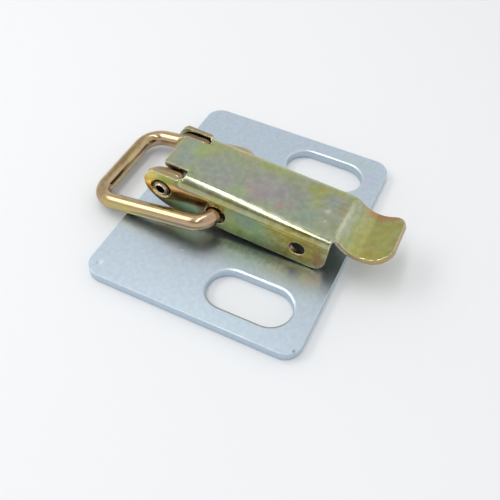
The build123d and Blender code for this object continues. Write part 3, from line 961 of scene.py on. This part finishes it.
def mixShare(tree, mask, amount, color, tint):  # the amount of a tint laid over a colour where the mask is
    return mixColor(tree, mathNode(tree, "MULTIPLY", mask, amount), color, srgb(*tint))


def platedFinish(name, s):
    # a plated colour with its stains (some of them painted shade and painted highlights) and drifting tints,
    # its mottling, specks, rubbed edges and its dull film and painted shade, over the grain of a rolled sheet
    material = bpy.data.materials.new(name)
    material.use_nodes = True
    tree = material.node_tree
    shader = tree.nodes["Principled BSDF"]
    shader.inputs["Metallic"].default_value = 1.0
    point = tree.nodes.new("ShaderNodeTexCoord").outputs["Object"]
    wander = putGroup(tree, groups["wander"], {"Point": point, "Scale": s["wanderScale"]}).outputs[0]
    centred = put(tree, "VectorMath", {0: wander, 1: (0.5, 0.5, 0.5)}, operation="SUBTRACT").outputs[0]
    push = put(tree, "VectorMath", {0: centred, "Scale": s["wanderReach"] * mm}, operation="SCALE").outputs[0]
    moved = put(tree, "VectorMath", {0: point, 1: push}, operation="ADD").outputs[0]
    grain = putGroup(tree, groups["grain"], {"Point": point, "Scale": s["grainScale"]})
    patch, height = grain.outputs["Patch"], grain.outputs["Height"]
    rag = spread(tree, patch, *surfaceEffects["patchRange"], -s["rag"], s["rag"])

    color = srgb(*s["color"])
    for tint, centre, reach, amount in s["stains"]:
        links = {"Point": moved, "Centre": [v * mm for v in centre], "Reach": [v * mm for v in reach]}
        mask = putGroup(tree, groups["stain"], {**links, "Rag": rag, "Amount": amount}).outputs[0]
        color = mixColor(tree, mask, color, srgb(*tint))
    for scale, strength in s["drift"]:
        drift = putGroup(tree, groups["drift"], {"Point": moved, "Scale": scale, "Strength": strength})
        color = mixColor(tree, 1.0, color, drift.outputs[0], "MULTIPLY")
    shade = spread(tree, height, *surfaceEffects["heightRange"], 1 - s["mottle"], 1 + s["mottle"])
    color = multiplyBy(tree, color, shade)
    links = {"Point": point, "Scale": s["speckScale"], "Share": s["speckShare"]}
    specks = putGroup(tree, groups["specks"], links).outputs[0]
    color = mixShare(tree, specks, s["speckAmount"], color, s["speck"])
    edge = put(tree, "Attribute", {}, attribute_name="edge").outputs["Fac"]
    links = {"Edge": edge, "Point": point, "Scale": s["wearScale"]}
    wear = putGroup(tree, groups["edgeWear"], links).outputs[0]
    color = mixShare(tree, wear, s["wear"], color, s["rubbed"])
    dull = put(tree, "Attribute", {}, attribute_name="dull").outputs["Fac"]
    color = mixShare(tree, dull, s["dullAmount"], color, s["dull"])
    tree.links.new(color, shader.inputs["Base Color"])

    roughness = spread(tree, patch, *surfaceEffects["patchRange"], *s["rough"])
    roughness = mathNode(tree, "ADD", roughness, mathNode(tree, "MULTIPLY", dull, s["dullRough"]))
    tree.links.new(roughness, shader.inputs["Roughness"])
    bump = {"Height": height, "Strength": s["bump"], "Distance": s["bumpDepth"] * mm}
    tree.links.new(put(tree, "Bump", bump).outputs[0], shader.inputs["Normal"])
    return material


# a stain is a tint, its centre and reach in mm, and its amount
stainReach = {"crownDepth": 3.0, "sideDepth": 2.2, "tabDepth": 9.0, "tabUp": 3.0}


def onCrown(tint, along, across, reachAlong, reachAcross, amount):  # on the lever's top
    reach = (reachAcross, reachAlong, stainReach["crownDepth"])
    return tint, closedPose(along, leverSheet["crown"], across), reach, amount


def onFold(tint, along, across, up, reachAlong, reachAround, amount):  # on the near fold
    return tint, closedPose(along, up, across), (reachAround, reachAlong, reachAround), amount


def onSide(tint, along, up, reachAlong, reachUp, amount):  # on the near side
    reach = (stainReach["sideDepth"], reachAlong, reachUp)
    return tint, closedPose(along, up, leverSheet["half"]), reach, amount


def onTab(tint, along, across, reachAlong, reachAcross, amount):  # on the pull tab, deep enough for its curl
    reach = (reachAcross, reachAlong, stainReach["tabDepth"])
    return tint, closedPose(along, stainReach["tabUp"], across), reach, amount


crownStains = [
    onCrown((194, 185, 114), -1.9, 0.5, 1.8, 8.0, 0.62),
    onCrown((166, 189, 179), 2.5, -0.4, 4.4, 5.0, 0.51),
    onCrown((181, 196, 108), 6.0, -2.8, 3.6, 4.2, 0.55),
    onCrown((195, 191, 112), 7.8, -6.0, 3.6, 2.6, 0.47),
    onCrown((175, 195, 134), 6.5, 6.0, 3.4, 2.8, 0.43),
    onCrown((184, 189, 121), 13.0, -8.6, 10.0, 2.4, 0.47),
    onCrown((209, 185, 134), 17.5, -8.4, 5.0, 1.8, 0.43),
    onCrown((166, 174, 176), 13.8, 1.4, 8.5, 6.0, 0.58),
    onCrown((177, 171, 177), 16.8, 4.6, 5.5, 3.2, 0.43),
    onCrown((175, 184, 144), 17.0, -4.8, 6.5, 3.4, 0.39),
    onCrown((166, 191, 142), 21.5, 5.8, 3.0, 2.8, 0.55),
    onCrown((209, 163, 166), 23.9, 3.1, 2.0, 2.2, 0.47),
    onCrown((190, 162, 162), 27.2, 3.6, 4.2, 3.6, 0.6),
    onCrown((176, 166, 178), 29.5, 0.8, 9.0, 6.2, 0.7),
    onCrown((200, 156, 163), 33.6, 5.2, 2.0, 2.0, 0.47),
    onCrown((181, 188, 101), 27.5, -8.2, 9.0, 3.0, 0.58),
    onCrown((168, 176, 146), 33.5, -4.6, 6.0, 3.4, 0.39),
    onCrown((183, 158, 160), 37.0, 3.0, 2.4, 2.6, 0.31),
    onCrown((162, 167, 157), 36.8, -1.6, 5.5, 4.4, 0.39),
    onCrown((155, 174, 164), 41.0, 4.2, 5.5, 4.4, 0.47),
    onCrown((177, 180, 88), 42.0, -5.0, 4.4, 4.0, 0.62),
    onCrown((203, 168, 99), 42.9, -6.8, 1.4, 1.2, 0.39),
    onCrown((182, 193, 98), 42.4, -0.8, 1.8, 2.0, 0.43),
    onCrown((155, 167, 168), 46.0, -3.6, 3.4, 3.2, 0.51),
    onCrown((179, 180, 99), 47.0, -8.6, 6.0, 2.4, 0.58),
    onCrown((243, 247, 235), 46.4, 0.2, 1.1, 1.1, 0.42),
    onCrown((237, 243, 233), 46.9, 4.5, 0.7, 0.7, 0.42),
    onCrown((178, 155, 119), 49.7, -2.3, 1.5, 3.2, 0.43),
    onCrown((173, 180, 132), 48.5, 6.2, 4.0, 3.4, 0.39),
]
tabStains = [
    onTab((164, 164, 97), 64.0, 0.0, 13.0, 24.0, 1.0),
    # a near-white band at the crown's bend into the tab: painted highlight
    onTab((232, 228, 206), 51.9, 2.0, 0.9, 9.0, 0.6),
    onTab((194, 199, 200), 54.0, 0.5, 1.6, 9.5, 0.5),
    onTab((172, 177, 122), 56.6, 0.5, 4.2, 13.0, 0.7),
    onTab((175, 172, 106), 61.5, 2.5, 7.0, 10.0, 0.85),
    onTab((179, 172, 84), 61.0, 8.0, 9.0, 3.2, 0.6),
    onTab((190, 136, 104), 61.5, -9.8, 9.0, 4.4, 0.85),
    onTab((182, 138, 106), 69.6, 0.0, 3.2, 14.0, 0.9),
]
sideStains = [
    onSide((182, 178, 110), 25.0, 0.0, 45.0, 11.0, 0.95),
    onSide((236, 210, 106), -3.2, 1.6, 4.6, 6.2, 0.95),
    onSide((170, 107, 69), -5.2, -2.5, 2.8, 5.0, 0.9),
    onSide((205, 205, 101), 1.8, 4.6, 4.8, 2.6, 0.9),
    onSide((196, 156, 132), 0.5, -5.0, 4.6, 2.2, 0.9),
    onSide((205, 175, 173), 7.2, 2.5, 7.0, 1.5, 0.75),
    onSide((206, 178, 168), 8.6, 0.2, 8.0, 2.2, 0.85),
    onSide((164, 198, 154), 9.4, -3.4, 6.0, 2.8, 0.9),
    onSide((134, 95, 71), 13.8, -0.6, 2.4, 3.6, 0.8),
    onSide((181, 180, 87), 20.6, 4.0, 7.0, 2.6, 0.8),
    onSide((156, 178, 154), 27.0, 1.2, 6.5, 4.6, 0.8),
    onSide((154, 176, 104), 25.4, -4.4, 6.5, 3.4, 0.8),
    onSide((158, 174, 130), 32.4, -2.2, 6.0, 4.6, 0.7),
    onSide((181, 164, 80), 38.6, 2.8, 7.0, 3.4, 0.8),
    onSide((161, 139, 53), 44.0, -1.5, 9.0, 7.0, 0.85),
    onSide((160, 118, 66), 46.8, 2.6, 4.4, 1.8, 0.4),
    onSide((144, 98, 67), 50.0, -2.5, 3.0, 4.8, 0.85),
    onSide((158, 104, 66), 42.7, -0.83, 3.3, 3.3, 0.6),
]
# the tongue's dark edges along the slits
tongueStains = [((70, 54, 38), closedPose(2.3, 5.3, side * 6.5), (0.55, 6.0, 0.9), 0.95) for side in (1, -1)]
foldStains = [
    onFold((112, 104, 76), 42.0, 10.5, 4.9, 8.5, 0.6, 0.35),
    onFold((158, 154, 148), 20.0, 10.6, 4.6, 20.0, 1.1, 0.5),
    onFold((190, 192, 160), 31.0, 11.0, 3.4, 22.0, 0.45, 0.5),
]
leverFinish = {
    "color": (171, 178, 155),
    "stains": crownStains + sideStains + foldStains + tabStains + tongueStains,
    "wanderScale": 330.0, "wanderReach": 3.4, "rag": 0.2,
    "drift": ((170.0, 0.3), (620.0, 0.22)),
    "grainScale": 3600.0, "mottle": 0.12,
    "speckScale": 1500.0, "speckShare": 0.05, "speckAmount": 0.35, "speck": (120, 104, 92),
    "rubbed": (222, 212, 178), "wear": 0.55, "wearScale": 900.0,
    "dull": (176, 150, 118), "dullAmount": 0.75, "dullRough": 0.12,
    "rough": (0.14, 0.18), "bump": 0.11, "bumpDepth": 0.02,  # mm
}
wireFinish = {
    **leverFinish,
    "color": (190, 167, 136), "drift": ((150.0, 0.6), (700.0, 0.2)), "mottle": 0.03,
    "rough": (0.17, 0.21), "bump": 0.05,
    # the dull colour here is painted shade on the wire's underside
    "speckAmount": 0.0, "dull": (96, 84, 56), "dullAmount": 0.85,
    "stains": [
        ((190, 178, 104), wirePlace(17.7, 19.0, -1.2), (1.8, 24, 2.2), 0.75),
        ((150, 134, 100), wirePlace(14.2, 18.0, 2.0), (2.0, 22, 2.2), 0.75),
        ((204, 164, 150), wirePlace(14.5, 2.0, 1.5), (5.0, 5.0, 3.0), 0.6),
        # across the front bar: painted shade on its top, painted light on its outer side and a painted
        # highlight on its inner side
        ((146, 130, 84), wirePlace(0, 37.6, 2.6), (24, 1.3, 1.6), 0.85),
        ((206, 184, 140), wirePlace(0, 35.7, 0.5), (15, 1.0, 1.8), 0.8),
        ((222, 206, 160), wirePlace(0, 40.2, 0.2), (24, 1.6, 2.6), 0.9),
        ((140, 108, 76), wirePlace(15.0, 36.6, 0.8), (3.5, 3.5, 3.5), 0.5),
    ],
}
bracketFinish = {
    **leverFinish,
    # cut walls darker than the lever's and strongly rubbed rims: partly painted shade and a painted highlight
    # along the ears' tops
    "color": (176, 164, 116), "dull": (156, 130, 100),
    "rubbed": (236, 222, 180), "wear": 0.9,
    "stains": [
        ((52, 40, 28), (-8.3, -21, 17.5), (1.6, 8.5, 2.6), 0.95),  # painted shade on the far ear's top, in the narrow slot beside the tongue
        ((196, 170, 104), (8.3, -24, 17), (2, 5, 3), 0.7),  # the near ear's golden top
        ((70, 58, 40), (-3, -21, 5), (8, 7, 3), 0.9),  # painted shade on the foot between the ears
    ],
}
rivetFinish = {
    **leverFinish,
    "color": (206, 192, 160), "stains": [], "rough": (0.18, 0.25), "mottle": 0.03, "drift": ((300.0, 0.3),),
    # the dull colour here is painted shade in the bore and round the lip
    "speckAmount": 0.0, "dull": (52, 42, 30), "dullAmount": 0.95,
}
plateMarks = [
    ((92, 100, 98), (11.6, 10.0, 3.0), (4.0, 19.0, 1.0), 0.75),  # painted shade along the lever's foot, standing in for its shadow and dark reflection on the plate
    ((84, 78, 68), (-5.6, -25.0, 3.0), (2.0, 2.6, 1.0), 0.7),  # and painted shade on the plate under the pivot, between the bracket's ears
    ((246, 249, 250), (21.6, -10.7, 3.0), (0.35, 0.6, 1.0), 1.0),  # a painted glint: a small bright spot
    ((238, 243, 246), (35.6, -28.6, 3.0), (1.3, 1.1, 1.0), 0.7),  # a rub in the corner at the loop's end
    ((170, 182, 192), (36.4, -29.3, 3.0), (1.0, 0.7, 1.0), 0.7),  # and its darker rim
    ((120, 128, 134), (37.8, 30.6, 3.0), (0.7, 0.5, 1.0), 0.8),  # a dark chip in the corner at the tab's end
    ((196, 214, 200), (-35.0, 22.0, 3.0), (4.0, 7.0, 1.0), 0.35),
    ((200, 200, 222), (-30.0, 27.5, 3.0), (5.0, 3.0, 1.0), 0.35),
]
plateFinish = {
    **leverFinish,
    "color": (203, 217, 229), "stains": plateMarks, "wanderReach": 1.2, "rag": 0.08,
    "drift": ((60.0, 0.07), (900.0, 0.06)), "mottle": 0.07, "grainScale": 4800.0, "rough": (0.345, 0.365),
    "rubbed": (214, 222, 226), "wear": 0.5,
    "speckScale": 2600.0, "speckShare": 0.4, "speckAmount": 0.3, "speck": (150, 162, 174),
    "dull": (186, 200, 212), "dullAmount": 0.5, "bump": 0.03,
}


def finishPiece(piece, body, slot, material, *nodes):  # gives a piece its material and body, and hides the CAD nodes it stands in for; the slot is not used
    piece.data.materials.append(material)
    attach(piece, body)
    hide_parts(*nodes)


finishPiece(makeLever(), "lever", "yellow_zinc", platedFinish("leverZinc", leverFinish), "lever")
finishPiece(makePlate(), "base", "clear_zinc", platedFinish("plateZinc", plateFinish), "mounting_plate")
finishPiece(makeBracket(), "base", "yellow_zinc", platedFinish("bracketZinc", bracketFinish), "base_bracket")
finishPiece(makeWire(), "loop", "yellow_zinc", platedFinish("wireZinc", wireFinish), "loop")
finishPiece(makePivotRivet(), "base", "yellow_zinc", platedFinish("rivetZinc", rivetFinish), "pivot_rivet")
tailRivets = makeBaseRivets()
finishPiece(tailRivets, "base", "yellow_zinc", platedFinish("tailRivetZinc", rivetFinish), "base_rivets")
print("pieces made and finished")

bpy.context.scene.view_settings.view_transform = "Standard"
